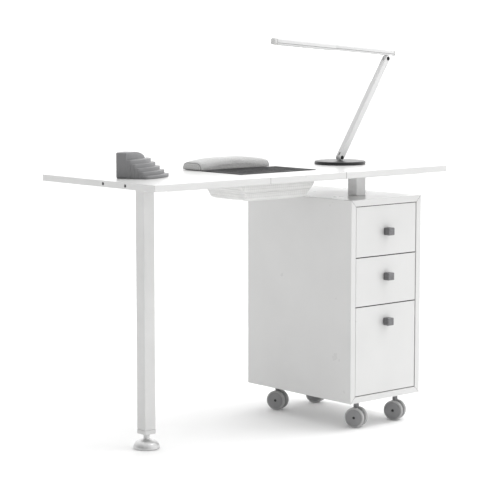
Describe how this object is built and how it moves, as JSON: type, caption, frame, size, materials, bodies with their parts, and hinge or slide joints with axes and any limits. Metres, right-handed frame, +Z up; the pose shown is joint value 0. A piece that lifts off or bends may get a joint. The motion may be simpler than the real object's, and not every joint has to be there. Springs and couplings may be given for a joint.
{
  "type": "manicure table",
  "caption": "Nail salon table: a board top on one square leg and a rolling drawer cabinet, with a built-in dust collector, wrist cushion, bottle stand and jointed desk lamp.",
  "frame": {"origin": "on the floor, below the middle of the whole object's box", "axes": "+X to the right along the table's front edge, towards the cabinet; +Y from the front, where the drawers open, to the back; +Z up"},
  "size_m": [1.1703, 0.518, 1.1677],
  "materials": {
    "white_board": "satin white lacquered board",
    "drawer_board": "matt white laminate",
    "white_metal": "satin white powder coat",
    "lamp_metal": "satin white powder coat over aluminium",
    "black_metal": "satin black powder coat",
    "zinc_steel": "zinc plated",
    "grey_metal": "satin nickel",
    "black_plastic": "fine grain",
    "white_plastic": "fine grain",
    "grey_plastic": "fine grain",
    "wheel_plastic": "matt moulded",
    "diffuser": "frosted",
    "bag_cloth": "woven filter cloth",
    "cushion_cover": "soft grained faux leather"
  },
  "bodies": {
    "root": {"tabletop_left": "white_board", "tabletop_centre": "white_board", "tabletop_right": "white_board", "cabinet_left_side": "white_board", "cabinet_right_side": "white_board", "cabinet_top": "white_board", "cabinet_bottom": "white_board", "cabinet_back": "white_board", "top_frame": "white_metal", "leg_plate": "white_metal", "leg_tube": "white_metal", "post_front": "white_metal", "post_rear": "white_metal", "lamp_base": "black_metal", "collector_grille": "black_metal", "fan_motor": "zinc_steel", "drawer_1_runner_left": "zinc_steel", "drawer_1_runner_right": "zinc_steel", "drawer_2_runner_left": "zinc_steel", "drawer_2_runner_right": "zinc_steel", "drawer_3_runner_left": "zinc_steel", "drawer_3_runner_right": "zinc_steel", "collector_tray": "black_plastic", "lamp_power_inlet": "black_plastic", "leg_cap": "white_plastic", "bottle_stand": "grey_plastic", "dust_bag": "bag_cloth", "wrist_cushion": "cushion_cover"},
    "drawer_1": {"drawer_1_front": "white_board", "drawer_1_box": "drawer_board", "drawer_1_knob": "grey_metal"},
    "drawer_2": {"drawer_2_front": "white_board", "drawer_2_box": "drawer_board", "drawer_2_knob": "grey_metal"},
    "drawer_3": {"drawer_3_front": "white_board", "drawer_3_box": "drawer_board", "drawer_3_knob": "grey_metal"},
    "caster_front_left": {"caster_front_left_hood": "grey_plastic"},
    "wheel_front_left_a": {"caster_front_left_wheel_a": "wheel_plastic"},
    "wheel_front_left_b": {"caster_front_left_wheel_b": "wheel_plastic"},
    "caster_front_right": {"caster_front_right_hood": "grey_plastic"},
    "wheel_front_right_a": {"caster_front_right_wheel_a": "wheel_plastic"},
    "wheel_front_right_b": {"caster_front_right_wheel_b": "wheel_plastic"},
    "caster_rear_left": {"caster_rear_left_hood": "grey_plastic"},
    "wheel_rear_left_a": {"caster_rear_left_wheel_a": "wheel_plastic"},
    "wheel_rear_left_b": {"caster_rear_left_wheel_b": "wheel_plastic"},
    "caster_rear_right": {"caster_rear_right_hood": "grey_plastic"},
    "wheel_rear_right_a": {"caster_rear_right_wheel_a": "wheel_plastic"},
    "wheel_rear_right_b": {"caster_rear_right_wheel_b": "wheel_plastic"},
    "levelling_foot": {"levelling_foot": "zinc_steel"},
    "lamp_turret": {"lamp_turret": "black_metal", "lamp_lower_pin": "black_metal"},
    "lamp_arm": {"lamp_arm": "lamp_metal"},
    "lamp_head": {"lamp_head": "lamp_metal", "lamp_diffuser": "diffuser", "lamp_upper_pin": "black_metal"},
    "lamp_switch": {"lamp_switch": "black_plastic"},
    "fan_impeller": {"fan_impeller": "black_plastic"},
    "fan_button": {"fan_button": "black_plastic"},
    "light_button": {"light_button": "black_plastic"}
  },
  "joints": [
    {"name": "drawer_1_slide", "type": "slide", "parent": "root", "child": "drawer_1", "axis": [0, -1, 0], "range_m": [0, 0.3]},
    {"name": "drawer_2_slide", "type": "slide", "parent": "root", "child": "drawer_2", "axis": [0, -1, 0], "range_m": [0, 0.3]},
    {"name": "drawer_3_slide", "type": "slide", "parent": "root", "child": "drawer_3", "axis": [0, -1, 0], "range_m": [0, 0.3]},
    {"name": "caster_front_left_swivel", "type": "hinge", "parent": "root", "child": "caster_front_left", "pos_m": [0.23572, -0.1915, 0.083], "axis": [0, 0, 1], "continuous": true},
    {"name": "wheel_front_left_a_spin", "type": "hinge", "parent": "caster_front_left", "child": "wheel_front_left_a", "pos_m": [0.23572, -0.1915, 0.0305], "axis": [0.9278, 0.373, 0], "continuous": true},
    {"name": "wheel_front_left_b_spin", "type": "hinge", "parent": "caster_front_left", "child": "wheel_front_left_b", "pos_m": [0.23572, -0.1915, 0.0305], "axis": [0.9278, 0.373, 0], "continuous": true},
    {"name": "caster_front_right_swivel", "type": "hinge", "parent": "root", "child": "caster_front_right", "pos_m": [0.40272, -0.1915, 0.083], "axis": [0, 0, 1], "continuous": true},
    {"name": "wheel_front_right_a_spin", "type": "hinge", "parent": "caster_front_right", "child": "wheel_front_right_a", "pos_m": [0.40272, -0.1915, 0.0305], "axis": [0.9278, 0.373, 0], "continuous": true},
    {"name": "wheel_front_right_b_spin", "type": "hinge", "parent": "caster_front_right", "child": "wheel_front_right_b", "pos_m": [0.40272, -0.1915, 0.0305], "axis": [0.9278, 0.373, 0], "continuous": true},
    {"name": "caster_rear_left_swivel", "type": "hinge", "parent": "root", "child": "caster_rear_left", "pos_m": [0.23572, 0.1615, 0.083], "axis": [0, 0, 1], "continuous": true},
    {"name": "wheel_rear_left_a_spin", "type": "hinge", "parent": "caster_rear_left", "child": "wheel_rear_left_a", "pos_m": [0.23572, 0.1615, 0.0305], "axis": [0.9278, 0.373, 0], "continuous": true},
    {"name": "wheel_rear_left_b_spin", "type": "hinge", "parent": "caster_rear_left", "child": "wheel_rear_left_b", "pos_m": [0.23572, 0.1615, 0.0305], "axis": [0.9278, 0.373, 0], "continuous": true},
    {"name": "caster_rear_right_swivel", "type": "hinge", "parent": "root", "child": "caster_rear_right", "pos_m": [0.40272, 0.1615, 0.083], "axis": [0, 0, 1], "continuous": true},
    {"name": "wheel_rear_right_a_spin", "type": "hinge", "parent": "caster_rear_right", "child": "wheel_rear_right_a", "pos_m": [0.40272, 0.1615, 0.0305], "axis": [0.9278, 0.373, 0], "continuous": true},
    {"name": "wheel_rear_right_b_spin", "type": "hinge", "parent": "caster_rear_right", "child": "wheel_rear_right_b", "pos_m": [0.40272, 0.1615, 0.0305], "axis": [0.9278, 0.373, 0], "continuous": true},
    {"name": "foot_height", "type": "slide", "parent": "root", "child": "levelling_foot", "axis": [0, 0, 1], "range_m": [-0.012, 0]},
    {"name": "lamp_swivel", "type": "hinge", "parent": "root", "child": "lamp_turret", "pos_m": [0.35072, 0.004, 0.79], "axis": [0, 0, 1], "range_deg": [-150, 150]},
    {"name": "lamp_lower_tilt", "type": "hinge", "parent": "lamp_turret", "child": "lamp_arm", "pos_m": [0.35072, 0.004, 0.8001], "axis": [0, 1, 0], "range_deg": [-30, 20]},
    {"name": "lamp_upper_tilt", "type": "hinge", "parent": "lamp_arm", "child": "lamp_head", "pos_m": [0.54925, 0.004, 1.10233], "axis": [0, -1, 0], "range_deg": [-60, 35]},
    {"name": "lamp_switch_press", "type": "slide", "parent": "lamp_head", "child": "lamp_switch", "axis": [-0.0767, 0, -0.9971], "range_m": [0, 0.0008], "stiffness_N_per_m": 300},
    {"name": "fan_spin", "type": "hinge", "parent": "root", "child": "fan_impeller", "pos_m": [-0.02428, -0.041, 0.756], "axis": [0, 0, 1], "continuous": true},
    {"name": "fan_button_press", "type": "slide", "parent": "root", "child": "fan_button", "axis": [1, 0, 0], "range_m": [0, 0.0015], "stiffness_N_per_m": 300},
    {"name": "light_button_press", "type": "slide", "parent": "root", "child": "light_button", "axis": [1, 0, 0], "range_m": [0, 0.0015], "stiffness_N_per_m": 300}
  ]
}
